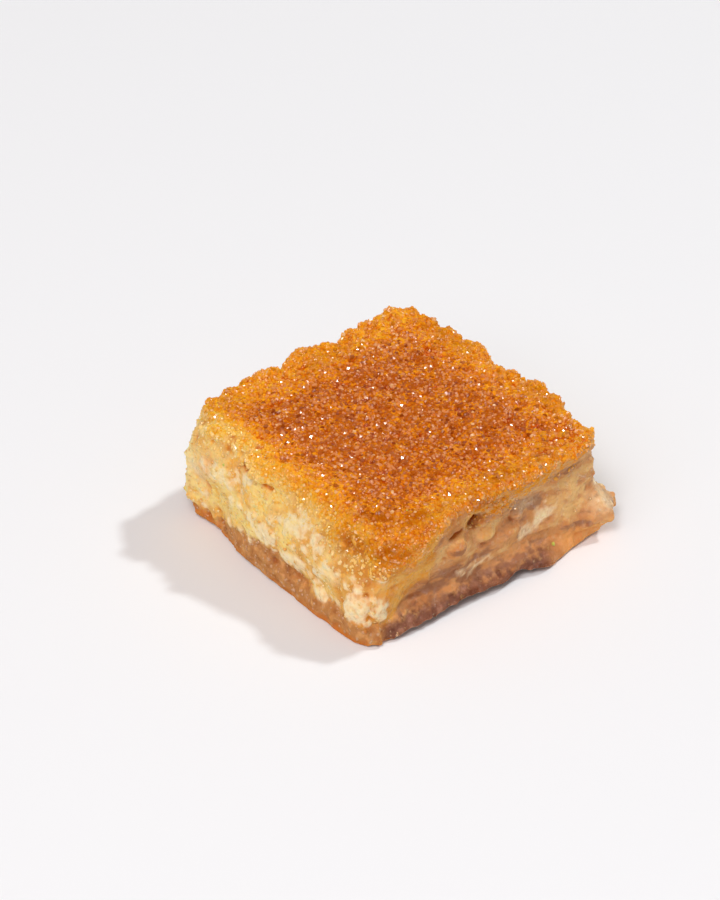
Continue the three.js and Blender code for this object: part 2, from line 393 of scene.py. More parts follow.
# Curds on each wall: place along it, height, half width, half height and how far they stand out;
# those that lie below the surface only show as a paler cloud
CURDS = {
    "front": (
        (-13.5, 13.0, 1.7, 1.3, 0.3), (-10.6, 13.3, 1.3, 0.9, 0.1), (-7.8, 14.4, 1.3, 1.0, 0.35),
        (-5.0, 9.3, 1.1, 1.1, 0.3), (-1.7, 7.9, 3.1, 1.7, 0.4), (4.6, 13.1, 2.9, 1.9, 0.35),
        (9.6, 11.8, 1.6, 1.6, 0.35), (4.6, 6.9, 2.5, 1.3, 0.4), (10.6, 8.2, 1.0, 0.9, 0.4),
        (10.9, 3.9, 1.5, 1.0, 0.6), (19.2, 6.2, 1.9, 2.4, 0.6),
    ),
    "right": (
        (-22.6, 6.0, 1.0, 2.0, 0.5), (-4.6, 5.5, 2.8, 0.8, -0.1), (-0.4, 5.6, 1.8, 0.9, -0.1),
        (6.8, 7.2, 2.4, 1.1, -0.05), (9.4, 8.7, 2.0, 1.1, -0.05), (11.8, 9.9, 1.6, 1.0, -0.1),
    ),
}
# Soft lumps of the same colour as what is round them, given in the same way
LUMPS = {
    "front": (
        (-5.4, 16.8, 1.1, 0.9, 0.5), (-17.8, 15.4, 1.8, 1.1, 0.4), (-10.6, 8.2, 1.8, 1.3, 0.5),
        (-0.8, 12.2, 1.3, 1.4, 0.5), (12.4, 17.2, 1.3, 0.9, 0.6), (16.6, 16.6, 1.7, 1.3, 0.8),
        (12.6, 13.4, 1.6, 1.2, 0.6), (15.8, 11.4, 1.7, 1.1, 0.5), (13.8, 7.0, 1.7, 1.1, 0.4),
        (17.6, 9.8, 2.2, 0.8, 0.5),
    ),
    "right": (
        (-8.4, 11.4, 2.1, 1.9, 1.5), (-1.6, 10.5, 2.1, 1.6, 1.1), (-13.6, 8.8, 1.2, 2.8, 0.7),
        (-6.8, 7.4, 2.2, 0.9, 0.6), (2.8, 8.4, 2.0, 1.1, 0.6), (5.4, 10.6, 1.4, 1.2, 0.6),
        (15.4, 10.0, 1.2, 2.0, 0.6), (1.0, 2.7, 0.8, 1.0, 0.7), (-7.6, 3.0, 1.4, 1.4, 0.6),
        (6.4, 4.0, 1.3, 1.4, 0.6), (14.8, 4.8, 1.3, 1.6, 0.5), (-13.4, 2.6, 1.5, 1.3, 0.5),
    ),
}
# Hollows, holes and slits: place along the wall, height, half width, half height and depth
HOLLOWS = {
    "front": ((-8.8, 16.2, 1.3, 1.1, 1.5),),
    "right": ((-3.4, 13.4, 1.6, 1.3, 1.8), (-8.0, 13.8, 2.2, 0.5, 0.9), (-11.0, 11.4, 0.6, 2.2, 1.3)),
}
# How high the bottom layer stands off the floor under the right wall, by y
UNDERCUT = ((-21.5, 0.0), (-19.5, 1.1), (-12, 1.3), (-6, 1.7), (0, 1.6), (6, 1.4), (9, 0.7), (11, 0.0))
UNDERCUT_INNER = 17.0  # where along x it ends
UNDERCUT_REACH = 2.5
LIP = 0.8  # and how far the edge over it stands out, as a share of its height
# How far the foot of the front wall stands out, by x
FRONT_FOOT = ((-20, 0.0), (-14, 0.6), (-6, 0.6), (0, 0.8), (6, 1.2), (18, 1.3), (22, 0.9))
CREASE_HEIGHT = 9.0  # of the crease over the block of curd at the front corner
CREASE = 0.35  # and its depth
CRUST_SINK = 0.8  # the crust is drawn in by this, as its grains stand out again
LUMPS_TO_A_CURD = (6, 6.0)  # at least, and for each square millimetre of half width by half height
CURD_LUMPS = (0.4, 0.75)  # their radii
CRUMB_SPLIT = 9.0  # loose crumbs are closer together over this height
CURD_BLEND = 0.08
HOLLOW_BLEND = 0.06
GRAIN_BLEND = 0.06


def side_relief():
    """How far the crumb of the sides stands out, and how the crust itself rises and dips."""
    places = shell.places
    crumb = noise(places, 4.2, seed=11, octaves=3)
    lumps = 1.0 - 2.0 * np.abs(noise(places, 2.6, seed=21))
    fine = noise(places, 0.9, seed=31)
    pits = ease(0.25, 0.7, noise(places, 2.2, seed=41))
    drag = noise(places, (2.4, 5.0, 1.5), seed=51)
    torn = 0.5 * crumb + 0.35 * lumps + 0.1 * fine - 0.3 * pits
    knifed = 0.35 * crumb + 0.4 * drag + 0.15 * lumps + 0.05 * fine - 0.25 * pits
    relief = shell.side * (torn * (1.0 - shell.right) + knifed * shell.right)
    relief -= 0.4 * shell.side * ease(0.8, -0.8, over_base_at(places))
    relief += shell.up * (0.4 * crumb + 0.3 * lumps) - (CRUST_SINK + far_corner_sink()) * shell.top
    relief -= CREASE * corner_crease()
    lip = LIP * shell.right * read_off(UNDERCUT, places[:, 1])
    foot = shell.front * read_off(FRONT_FOOT, places[:, 0])
    return relief * ease(0.0, 1.0, shell.z) + (lip + foot) * ease(4.5, 2.5, shell.z)


def far_corner_sink():
    """How much lower the crust lies towards the far right corner."""
    x, y, _ = shell.places.T
    return ease(12.0, 21.0, x) * ease(9.0, 20.0, y)


def corner_crease():
    """The crease over the block of curd at the front corner."""
    x, y, z = shell.places.T
    height = CREASE_HEIGHT + 0.6 * noise(shell.places, 2.0, seed=161)
    return bell(z - height, 0.5) * ease(16.0, 18.0, x) * ease(-18.5, -20.5, y)


def spots_of(table):
    """Each spot of a table, after its wall."""
    return [(WALLS[side], *spot) for side, spots in table.items() for spot in spots]


def add_curds(crowd, table, rng):
    """Adds each spot as small soft lumps packed into an ellipse on its wall."""
    centres = []
    radii = []
    for wall, along, height, wide, tall, out in spots_of(table):
        for _ in range(round(LUMPS_TO_A_CURD[0] + LUMPS_TO_A_CURD[1] * wide * tall)):
            angle = rng.uniform(0.0, 2.0 * math.pi)
            reach = 0.9 * math.sqrt(rng.uniform())
            radius = rng.uniform(*CURD_LUMPS)
            aside = reach * wide * math.cos(angle)
            raised = reach * tall * math.sin(angle)
            spot = wall_place(wall, along + aside, height + raised)
            centres.append(spot - wall[0] * (radius - out * rng.uniform(0.4, 1.2)))
            radii.append(radius * rng.uniform(0.8, 1.2, size=3))
    crowd.add(centres, radii)


def add_ellipsoids(crowd, table, hollow=False):
    """Adds one ellipsoid a spot: a lump that stands out this far, or a hollow that is this deep."""
    centres = []
    radii = []
    for wall, along, height, wide, tall, reach in spots_of(table):
        outward, axis = wall
        thick = reach if hollow else 0.5 * (wide + tall)
        sunk = 0.0 if hollow else thick - reach
        centres.append(wall_place(wall, along, height) - outward * sunk)
        radii.append([wide if i == axis else tall if i == 2 else thick for i in range(3)])
    crowd.add(centres, radii)


def add_grains(crowd, mask, spacing, sizes, sinks, rng):
    """Adds grains half sunk in the surface wherever the mask holds."""
    field_here = field[shell.voxels]
    near = np.nonzero(mask & (np.abs(field_here) < 0.5 * grid.voxel))[0]
    near = near[scatter_sites(shell.places[near], spacing, rng)]
    size = rng.uniform(*sizes, size=(len(near), 1)) * rng.uniform(0.8, 1.2, size=(len(near), 3))
    sunk = rng.uniform(*sinks, size=(len(near), 1)) * size.min(axis=1, keepdims=True)
    centres = shell.places[near] - shell.slope[near] * (sunk + field_here[near][:, None])
    crowd.add(centres, size, random_turns(len(near), rng))


def roughened(crowd, amount, size, seed):
    """A crowd's field with a rough surface."""
    rough = crowd.field()
    rough[shell.voxels] += amount * noise(shell.places, size, seed)
    return rough


def cut_under(field):
    """Lifts the ragged lower edge of the right wall off the floor."""
    voxels = np.nonzero((grid.heights < UNDERCUT_REACH) & (np.abs(field) < BAND + 1.0))
    x, y, z = grid.places(voxels).T
    ragged = noise(grid.places(voxels), 3.0, seed=131, octaves=3)
    gap = read_off(UNDERCUT, y) * (1.0 + 0.5 * ragged)
    opening = np.minimum(gap - z, x - UNDERCUT_INNER + ragged)
    field[voxels] = soft_max(field[voxels], opening, 0.2)


rng = np.random.default_rng(7)
field = np.where(body < 0.0, -BAND, BAND).astype(np.float32)
field[shell.voxels] = shell.depth - side_relief()

lumps = Crowd(CURD_BLEND)
add_ellipsoids(lumps, LUMPS)
field = soft_min(field, roughened(lumps, 0.15, 1.2, seed=91), 0.3)

curds = Crowd(CURD_BLEND)
add_curds(curds, CURDS, rng)
filling_wall = (shell.side > 0.5) & (shell.over_base > 0.4) & (shell.over_filling < 1.5)
add_grains(curds, filling_wall & (shell.right < 0.5), 5.0, (0.4, 0.8), (0.5, 0.9), rng)
curd_field = roughened(curds, 0.12, 0.9, seed=71)
field = soft_min(field, curd_field, 0.2)

hollows = Crowd(HOLLOW_BLEND)
add_ellipsoids(hollows, HOLLOWS, hollow=True)
field = soft_max(field, -roughened(hollows, 0.2, 1.1, seed=81), 0.25)
cut_under(field)

crumbs = Crowd(GRAIN_BLEND)
crumb_wall = (shell.side > 0.3) & (shell.z > 0.7) & (shell.right < 0.6)
add_grains(crumbs, crumb_wall & (shell.z > CRUMB_SPLIT), 1.1, (0.3, 0.5), (0.5, 0.95), rng)
add_grains(crumbs, crumb_wall & (shell.z < CRUMB_SPLIT), 1.8, (0.3, 0.6), (0.5, 0.95), rng)
field = soft_min(field, crumbs.field(), 0.14)

crust_start = toast_edge(shell.places) + 1.2 * noise(shell.places, EDGE_NOISE, seed=61)
on_crust = (shell.z > crust_start) & (shell.slope[:, 2] > -0.3)
on_rim = on_crust & (shell.slope[:, 2] < 0.9) & (shell.slope[:, 2] > 0.25)
crust = Crowd(GRAIN_BLEND)
add_grains(crust, on_rim, 1.9, (0.8, 1.5), (0.2, 0.75), rng)
add_grains(crust, on_crust, 2.2, (0.7, 1.2), (0.5, 0.9), rng)
add_grains(crust, on_crust, 0.7, (0.3, 0.5), (0.2, 0.9), rng)
field = soft_min(field, crust.field(), 0.1)


def blurred(field, passes):
    """A field averaged over its neighbours: it turns positive on ridges and negative in hollows."""
    for _ in range(passes):
        for axis in range(3):
            field = (np.roll(field, 1, axis=axis) + field + np.roll(field, -1, axis=axis)) / 3.0
    return field


mean_field = blurred(field, 7)


# ---- One mesh for each layer ----

LAP = 1.8  # each layer's mesh runs this far past its seams, behind its neighbour
SETBACK = 0.3  # and lies this far behind its neighbour's surface there
SEAM_EASE = 1.0  # having drawn back over this height
LEVEL_FROM = 17.5  # this near the middle, the hidden seams are level
LEVEL_EASE = 1.5  # and this much farther out they follow the model
ADAPTIVITY = 0.12  # how far the two upper layers' flatter parts are thinned
BASE_ADAPTIVITY = 0.05
# The edge where the shaded wall starts: height and place along the right wall
TORN_EDGE = ((0.0, -22.5), (3.0, -21.5), (4.2, -19.3), (6.4, -15.1), (9.7, -12.0), (14.0, -12.5))
# Spots of the crust that are browned darker: the middle and the radius
DARK_SPOTS = (((-10.2, -15.2, 19.0), 1.0), ((-0.6, -16.4, 19.1), 1.1), ((-3.6, -20.0, 19.0), 0.9))
# Clouds of paler curd just under the surface: the middle, and how far each spreads along x, y and z
PALE_CLOUDS = (
    (-20.4, -24.0, 10.4, 2.8, 3.0, 2.8), (-16.6, -24.0, 12.4, 2.0, 3.0, 1.8),
    (13.6, -24.0, 9.4, 2.0, 3.0, 1.2), (24.0, 22.6, 6.6, 3.0, 3.4, 1.8),
    (24.0, 6.6, 11.8, 3.0, 2.6, 1.4),
)
# Pockets that are soaked with syrup, given in the same way: the darkest of them, and all the others
DEEP_POCKETS = (
    (17.0, -18.8, 18.6, 3.2, 2.4, 1.6), (21.0, 2.6, 19.0, 2.2, 3.2, 1.6),
    (21.4, 10.6, 18.4, 1.6, 2.2, 1.4), (21.5, -9.0, 17.0, 2.5, 3.0, 2.0),
    (15.5, -22.0, 14.8, 3.2, 3.0, 1.5), (20.5, -19.5, 15.0, 3.0, 3.5, 1.6),
    (22.6, -3.9, 18.0, 2.5, 2.6, 1.6), (20.5, -14.0, 18.4, 2.2, 3.0, 1.6),
)
AMBER_POCKETS = (
    (22.5, -4.2, 14.5, 3.0, 2.4, 1.6), (22.0, 4.0, 17.0, 2.0, 4.0, 1.2),
    (20.0, 14.0, 18.5, 2.5, 5.0, 1.5), (-21.0, -18.0, 18.5, 3.0, 3.5, 1.5),
    (-20.0, 2.0, 19.0, 2.0, 6.0, 1.5), (-12.0, 21.0, 19.0, 6.0, 2.0, 1.5),
    (10.0, 21.5, 19.0, 7.0, 2.0, 1.5),
)


def add_mesh(name, points, triangles, quads, smooth=True):
    """A mesh object from corners in millimetres and its triangles and quads."""
    mesh = bpy.data.meshes.new(name)
    loops = np.concatenate([triangles.ravel(), quads.ravel()]).astype(np.int32)
    sides = np.repeat([3, 4], [len(triangles), len(quads)])
    starts = np.cumsum(sides) - sides
    mesh.vertices.add(len(points))
    mesh.vertices.foreach_set("co", (points * MM).ravel().astype(np.float32))
    mesh.loops.add(len(loops))
    mesh.loops.foreach_set("vertex_index", loops)
    mesh.polygons.add(len(starts))
    mesh.polygons.foreach_set("loop_start", starts.astype(np.int32))
    mesh.update(calc_edges=True)
    mesh.validate()
    if smooth:
        mesh.shade_smooth()
    else:
        mesh.shade_flat()
    piece = bpy.data.objects.new(name, mesh)
    scene.collection.objects.link(piece)
    print(f"{name}: {len(triangles) + 2 * len(quads)} triangles")
    return piece


def add_attribute(piece, name, values):
    attribute = piece.data.attributes.new(name, "FLOAT", "POINT")
    attribute.data.foreach_set("value", np.asarray(values, dtype=np.float32))


def describe(piece, places, kinds, corners=1):
    """Stores what each function tells, under its name without _at, for the corners that share a place."""
    for kind_at in kinds:
        add_attribute(piece, kind_at.__name__.removesuffix("_at"), np.repeat(kind_at(places), corners))


def toast_at(points):
    """How browned each place is, from 0 on the pale crumb to 1 in the middle of the crust."""
    climb = ease(-1.8, 3.6, points[:, 2] - ragged_edge(points))
    up = ease(0.1, 0.8, grid.sample(slopes[2], points))
    inward = 1.0 - ease(13.0, 21.5, np.abs(points[:, :2]).max(axis=1))
    browned = climb * (0.4 + 0.24 * up + 0.32 * up * inward)
    for middle, radius in DARK_SPOTS:
        browned += 0.4 * bell(np.linalg.norm(points - np.array(middle), axis=1), radius)
    return browned


def clouds_at(points, clouds):
    """How deep each place lies in soft clouds, given by their middles and spreads."""
    depth = np.zeros(len(points))
    for cloud in clouds:
        apart = np.linalg.norm((points - np.array(cloud[:3])) / np.array(cloud[3:]), axis=1)
        depth = np.maximum(depth, bell(apart, 1.0))
    return depth


def amber_at(points):
    return clouds_at(points, AMBER_POCKETS)


def soaked_at(points):
    return clouds_at(points, DEEP_POCKETS)


def curd_at(points):
    """How much curd each place shows: on the curds themselves, and in the clouds under the surface."""
    standing = 1.0 - ease(-0.1, 0.55, grid.sample(curd_field, points))
    return np.maximum(standing, 0.75 * clouds_at(points, PALE_CLOUDS))


def ridge_at(points):
    """Positive on ridges and negative in hollows, most of all in deep ones."""
    return grid.sample(mean_field, points) - 0.3 * ease(-0.6, -1.3, grid.sample(body, points))


def golden_at(points):
    """How golden the pale crumb is: in soft patches and more towards the right, and in hollows, where the
    darker gold is painted shade.
    """
    patches = 1.4 * noise(points, 3.2, seed=151, octaves=4)
    # Hollows turn a darker gold: painted shade
    sunk = 0.5 * ease(-0.1, -0.9, grid.sample(body, points))
    return 0.85 * np.clip(0.2 + 0.4 * ease(-4.0, 14.0, points[:, 0]) + patches + sunk, 0.0, 1.0)


def shaded_at(points):
    """The slope of the crust and crumb that faces right, away from the light, where shade is painted."""
    return ease(0.1, 0.8, grid.sample(slopes[0], points)) * ease(21.0, 17.5, points[:, 2])


def right_wall_at(points):
    """The shaded right wall, which starts at a slanting torn edge near the front corner."""
    torn_edge = read_off(TORN_EDGE, points[:, 2]) + 0.8 * noise(points, 2.0, seed=121)
    return ease(17.0, 19.0, points[:, 0]) * ease(-1.2, 1.2, points[:, 1] - torn_edge)


def base_toast_at(points):
    """Where the bottom layer is browned: along its lowest edge in front, and at its left end."""
    x, y, z = points.T
    low_edge = ease(1.6, 0.3, z + 0.5 * noise(points, 2.0, seed=101))
    low_edge *= 0.45 + 0.5 * ease(6.0, 12.0, np.abs(x))
    low_edge *= 1.0 - ease(0.3, 0.8, grid.sample(slopes[0], points))
    left_end = ease(-15.0, -19.0, x) * ease(-5.0, -15.0, y)
    return np.maximum(low_edge, 0.8 * left_end)


def base_end_at(points):
    """The pale pink end of the bottom layer that sticks out at the far right, painted lighter for the
    light from behind that falls on it.
    """
    x, y, _ = points.T
    return ease(7.0, 16.0, y + 2.0 * noise(points, 2.5, seed=141)) * ease(10.0, 18.0, x)


def from_seam_at(points):
    """How far each place lies above or below the nearest seam between two layers."""
    seams = (grid.column(seam, points) for seam in (base_seam, filling_seam))
    return np.minimum(*(np.abs(points[:, 2] - seam) for seam in seams))


# What the materials read on the layers, on every loose piece, and on wall grains as well
LAYER_KINDS = (
    toast_at, ridge_at, from_seam_at, curd_at, over_base_at, right_wall_at,
    shaded_at, golden_at, amber_at, soaked_at, base_toast_at, base_end_at,
)
LOOSE_KINDS = (toast_at, amber_at, soaked_at, shaded_at)
WALL_GRAIN_KINDS = (right_wall_at, over_base_at)


def add_layer(name, node, cut, adaptivity):
    """Meshes one layer of the field and puts it in its node's place."""
    points, triangles, quads = grid.surface_of(cut, adaptivity)
    piece = add_mesh(name, points, triangles, quads)
    describe(piece, points.astype(np.float64), LAYER_KINDS)
    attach(piece, "root")
    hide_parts(node)
    return piece


def over_seam(seam):
    """The height of each voxel over a seam, which is made level where it is hidden well inside."""
    x, y = (np.arange(grid.shape[axis]) + grid.first[axis] for axis in (0, 1))
    outward = np.maximum(np.abs(x)[:, None], np.abs(y)[None, :]) * grid.voxel
    level = ease(LEVEL_FROM + LEVEL_EASE, LEVEL_FROM, outward)
    seam = seam + (np.median(seam) - seam) * level
    return grid.heights - seam[:, :, None].astype(np.float32)


def drawn_back(past):
    """How far a layer lies behind the surface, by how far each voxel is past its seam."""
    return SETBACK * ease(0.0, SEAM_EASE, past)


def add_layers():
    """The meshes of the three layers, from the top down."""
    over_base = over_seam(base_seam)
    over_filling = over_seam(filling_seam)
    top = np.maximum(field + drawn_back(-over_filling), -(over_filling + LAP))
    middle = field + drawn_back(over_filling) + drawn_back(-over_base)
    middle = np.maximum(middle, np.maximum(over_filling - LAP, -(over_base + LAP)))
    base = np.maximum(field + drawn_back(over_base), over_base - LAP)
    base = np.maximum(base, -grid.heights)
    return (
        add_layer("top_dough_and_crust", "top_dough", top, ADAPTIVITY),
        add_layer("curd_filling", "cream_filling", middle, ADAPTIVITY),
        add_layer("bottom_dough", "base_dough", base, BASE_ADAPTIVITY),
    )


# ---- Loose pieces: grains of crust and crumb, specks of pistachio, beads of syrup ----

GOLDEN = (1.0 + math.sqrt(5.0)) / 2.0
CORNERS = 12
BALL_EDGE = 1.2  # only neighbouring corners are nearer than this
GRAIN_SPACING = 0.64
GRAIN_SIZES = (0.22, 0.42)
WALL_GRAIN_SPACING = 1.1
WALL_GRAIN_SIZES = (0.16, 0.34)
# Specks of pistachio and beads of syrup: where each lies
PISTACHIO_PLACES = (
    (-14.3, -17.4, 18.9), (-12.7, -24.5, 15.0), (-9.8, -24.4, 9.3),
    (18.2, -14.3, 18.6), (23.3, 11.5, 2.8),
)
BEAD_PLACES = (
    (22.9, 10.4, 19.2), (23.2, 8.2, 18.9), (18.7, 18.6, 19.4), (22.8, 16.4, 6.7), (22.8, 19.6, 7.3),
)
PISTACHIO_SIZE = 0.28
BEAD_SIZE = 0.34


def icosahedron():
    """The 12 corners and 20 faces of a ball made of triangles."""
    ring = [(-1, GOLDEN), (1, GOLDEN), (-1, -GOLDEN), (1, -GOLDEN)]
    corners = [(a, b, 0) for a, b in ring] + [(0, a, b) for a, b in ring] + [(b, 0, a) for a, b in ring]
    corners = np.array(corners, dtype=float)
    corners /= np.linalg.norm(corners, axis=1, keepdims=True)
    faces = []
    for i, j, k in itertools.combinations(range(CORNERS), 3):
        a, b, c = corners[i], corners[j], corners[k]
        if max(np.linalg.norm(side) for side in (a - b, b - c, c - a)) < BALL_EDGE:
            faces.append((i, j, k) if np.dot(np.cross(b - a, c - a), a) > 0.0 else (i, k, j))
    return corners, np.array(faces)


def add_grain_piece(name, centres, sizes, rng, uneven=0.22, smooth=False):
    """Many small grains as one mesh: an uneven ball for each centre, size and random turn."""
    corners, faces = icosahedron()
    count = len(centres)
    jitter = rng.uniform(1.0 - uneven, 1.0 + uneven, size=(count, CORNERS, 1))
    shape = sizes[:, None, None] * rng.uniform(1.0 - uneven, 1.0 + uneven, size=(count, 1, 3))
    grains = np.einsum("nij,nkj->nki", random_turns(count, rng), corners * jitter * shape)
    points = (grains + centres[:, None, :]).reshape(-1, 3)
    triangles = (faces[None] + CORNERS * np.arange(count)[:, None, None]).reshape(-1, 3)
    piece = add_mesh(name, points, triangles, np.empty((0, 4), dtype=int), smooth)
    describe(piece, centres, LOOSE_KINDS, CORNERS)
    add_attribute(piece, "tone", np.repeat(rng.uniform(size=count), CORNERS))
    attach(piece, "root")
    return piece


def surface_of_piece(piece):
    """The corners of a piece in millimetres, and which way its surface faces there."""
    points, normals = np.empty((2, len(piece.data.vertices) * 3))
    piece.data.vertices.foreach_get("co", points)
    piece.data.vertices.foreach_get("normal", normals)
    return points.reshape(-1, 3) / MM, normals.reshape(-1, 3)


def add_crust_grains(top_piece, rng):
    """The coarse grains that sparkle on the crust, fewer where it faces right or is soaked."""
    points, normals = surface_of_piece(top_piece)
    edge = ragged_edge(points)
    bare = rng.normal(0.6, 1.4, size=len(points)) + 1.8 * ease(0.3, 0.8, normals[:, 0])
    dry = soaked_at(points) < rng.uniform(0.5, 1.0, size=len(points))
    upper = (normals[:, 2] > -0.2) & (points[:, 2] > 10.0)
    crusty = np.nonzero((points[:, 2] > edge + bare) & upper & dry)[0]
    chosen = crusty[scatter_sites(points[crusty], GRAIN_SPACING, rng)]
    sizes = rng.uniform(*GRAIN_SIZES, size=len(chosen))
    sunk = rng.uniform(0.15, 0.75, size=len(chosen)) * sizes
    centres = points[chosen] - normals[chosen] * sunk[:, None]
    return add_grain_piece("crust_grains", centres, sizes, rng)


def add_wall_grains(pieces, rng):
    """Small grains that stand out of the crumb of the front wall."""
    surfaces = [surface_of_piece(piece) for piece in pieces]
    points, normals = (np.concatenate(parts) for parts in zip(*surfaces))
    _, y, z = points.T
    on_wall = (normals[:, 2] < 0.7) & (normals[:, 1] < -0.3) & (y < -20.0) & (curd_at(points) < 0.3)
    crumbly = np.nonzero(on_wall & (z > 1.0) & (z < toast_edge(points) + 2.0))[0]
    chosen = crumbly[scatter_sites(points[crumbly], WALL_GRAIN_SPACING, rng)]
    sizes = rng.uniform(*WALL_GRAIN_SIZES, size=len(chosen))
    sunk = rng.uniform(0.2, 0.8, size=len(chosen)) * sizes
    centres = points[chosen] - normals[chosen] * sunk[:, None]
    piece = add_grain_piece("wall_grains", centres, sizes, rng, smooth=True)
    describe(piece, centres, WALL_GRAIN_KINDS, CORNERS)
    return piece


def add_few(name, places, size, uneven, rng):
    """A few small pieces at given places."""
    sizes = np.full(len(places), size)
    return add_grain_piece(name, np.array(places), sizes, rng, uneven, smooth=True)


# ---- Materials ----


def rgb(red, green, blue):
    """A colour given in steps from 0 to 255, as linear light."""
    parts = [c / 255.0 for c in (red, green, blue)]
    return tuple(c / 12.92 if c <= 0.04045 else ((c + 0.055) / 1.055) ** 2.4 for c in parts) + (1.0,)


class Look:
    """A material and short calls that add nodes to it. Sizes of patterns are in millimetres."""

    def __init__(self, name):
        self.material = bpy.data.materials.new(name)
        self.material.use_nodes = True
        self.tree = self.material.node_tree
        self.shader = self.tree.nodes["Principled BSDF"]
        self.where = self.tree.nodes.new("ShaderNodeTexCoord").outputs["Object"]

    def wire(self, socket, value):
        if isinstance(value, bpy.types.NodeSocket):
            self.tree.links.new(value, socket)
        else:
            socket.default_value = value

    def fill(self, node, values):
        for name, value in values.items():
            self.wire(node.inputs[name.replace("_", " ")], value)
        return node

    def set(self, **values):
        self.fill(self.shader, values)

    def add(self, kind, **values):
        return self.fill(self.tree.nodes.new("ShaderNode" + kind), values)

    def read(self, name):
        """What is stored in the mesh under a name."""
        node = self.add("Attribute")
        node.attribute_name = name
        return node.outputs["Fac"]

    def noise(self, size, detail=2.0, roughness=0.5, stretch=None):
        where = self.where
        if stretch is not None:
            where = self.add("Mapping", Scale=stretch, Vector=where).outputs["Vector"]
        scale = 1.0 / (size * MM)
        node = self.add("TexNoise", Scale=scale, Detail=detail, Roughness=roughness, Vector=where)
        return node.outputs["Fac"]

    def cells(self, size):
        return self.add("TexVoronoi", Scale=1.0 / (size * MM), Vector=self.where).outputs["Distance"]

    def math(self, operation, a, b=0.0):
        node = self.add("Math")
        node.operation = operation
        self.wire(node.inputs[0], a)
        self.wire(node.inputs[1], b)
        return node.outputs[0]

    def times(self, a, b):
        return self.math("MULTIPLY", a, b)

    def span(self, value, low, high, to_low=0.0, to_high=1.0):
        ends = {"From_Min": low, "From_Max": high, "To_Min": to_low, "To_Max": to_high}
        node = self.add("MapRange", Value=value, **ends)
        node.interpolation_type = "SMOOTHSTEP"
        return node.outputs["Result"]

    def ramp(self, value, stops):
        node = self.add("ValToRGB")
        node.color_ramp.interpolation = "EASE"
        elements = node.color_ramp.elements
        while len(elements) < len(stops):
            elements.new(1.0)
        for element, (position, colour) in zip(elements, stops):
            element.position = position
            element.color = rgb(*colour)
        self.wire(node.inputs["Fac"], value)
        return node.outputs["Color"]

    def mix(self, share, a, b, blend="MIX"):
        node = self.add("Mix")
        node.data_type = "RGBA"
        node.blend_type = blend
        self.wire(node.inputs["Factor"], share)
        self.wire(node.inputs[6], a)
        self.wire(node.inputs[7], b)
        return node.outputs[2]

    def bump(self, height, depth, under=None):
        node = self.add("Bump", Height=height, Distance=depth * MM)
        if under is not None:
            self.wire(node.inputs["Normal"], under)
        return node.outputs["Normal"]


# Stops give where on a ramp each colour is
CRUST_STOPS = (
    (0.0, (252, 214, 134)), (0.18, (252, 202, 102)), (0.38, (246, 174, 48)),
    (0.6, (238, 154, 22)), (0.8, (218, 122, 12)), (1.0, (182, 88, 9)),
)
BASE_STOPS = ((0.3, (216, 158, 98)), (0.5, (190, 130, 76)), (0.7, (158, 98, 54)))
# Darker copies of the bottom layer's colours, painted as shade on the right wall
SHADED_BASE_STOPS = ((0.3, (172, 122, 98)), (0.5, (136, 88, 68)), (0.7, (104, 60, 44)))
CURD_COLOUR = rgb(255, 226, 180)
GOLDEN_CRUMB = rgb(214, 140, 48)
# The right wall's crumb, painted darker and pinkish as shade, and the pale and dark smears of the knife
# on it
PINK_TAN_SHADE = rgb(212, 150, 94)
PALE_SMEAR = rgb(230, 180, 116)
DARK_SMEAR = rgb(168, 116, 82)
AMBER = rgb(214, 132, 12)
DEEP_AMBER = rgb(180, 92, 2)
BASE_EDGE = rgb(204, 122, 52)
# The far right end of the bottom layer, pale pink and painted lighter for the light from behind that
# falls on it
LIT_BASE_END = rgb(244, 170, 98)
BASE_SPECK = rgb(224, 180, 122)
# These three multiply the colour: painted shade in hollows, a warmer tint on ridges, and painted shade on
# the slopes that face right, away from the light
HOLLOW_SHADE = rgb(226, 172, 104)
RIDGE_TINT = rgb(255, 232, 180)
SIDE_SHADE = rgb(243, 218, 190)
GRAIN_DARK = rgb(142, 58, 8)
GRAIN_PINK = rgb(228, 148, 86)
GRAIN_PALE = rgb(255, 212, 150)
TONE_SHUFFLE = 7.0  # makes a grain's wetness out of its tone
WALL_GRAIN_STOPS = ((0.0, (234, 168, 72)), (0.5, (242, 192, 108)), (1.0, (252, 218, 158)))
WALL_GRAIN_SHADE_AND_BASE = rgb(206, 156, 112)
WALL_GRAIN_BUMP = 0.03
WALL_GRAIN_TRAVEL = 0.1
PISTACHIO = rgb(176, 186, 44)
PALE_PISTACHIO = rgb(206, 200, 90)
SYRUP = rgb(255, 226, 160)
PALE_SYRUP = rgb(255, 240, 205)
CRUMB_TRAVEL = 0.6  # how far light travels in the crumb
CRUST_TRAVEL = 0.15  # and in the browned crust
SEAM_TRAVEL = 0.1  # the share of that at a seam, which the hidden laps would darken
CRUMB_DEPTH = 0.14
RIPPLE_SIZE = 0.4


def paint(piece, material):
    piece.data.materials.append(material)


def damp(look, scale, coat, normal, glitter):
    """Light that travels under the surface, and a coat of syrup with ripples of its own."""
    look.set(
        Subsurface_Weight=1.0,
        Subsurface_Radius=(1.0, 0.85, 0.65),
        Subsurface_Scale=scale,
        Specular_IOR_Level=0.0,
        Roughness=0.5,
        Coat_Weight=coat,
        Coat_Roughness=0.15,
        Coat_IOR=1.7,
        Normal=normal,
        Coat_Normal=glitter,
    )


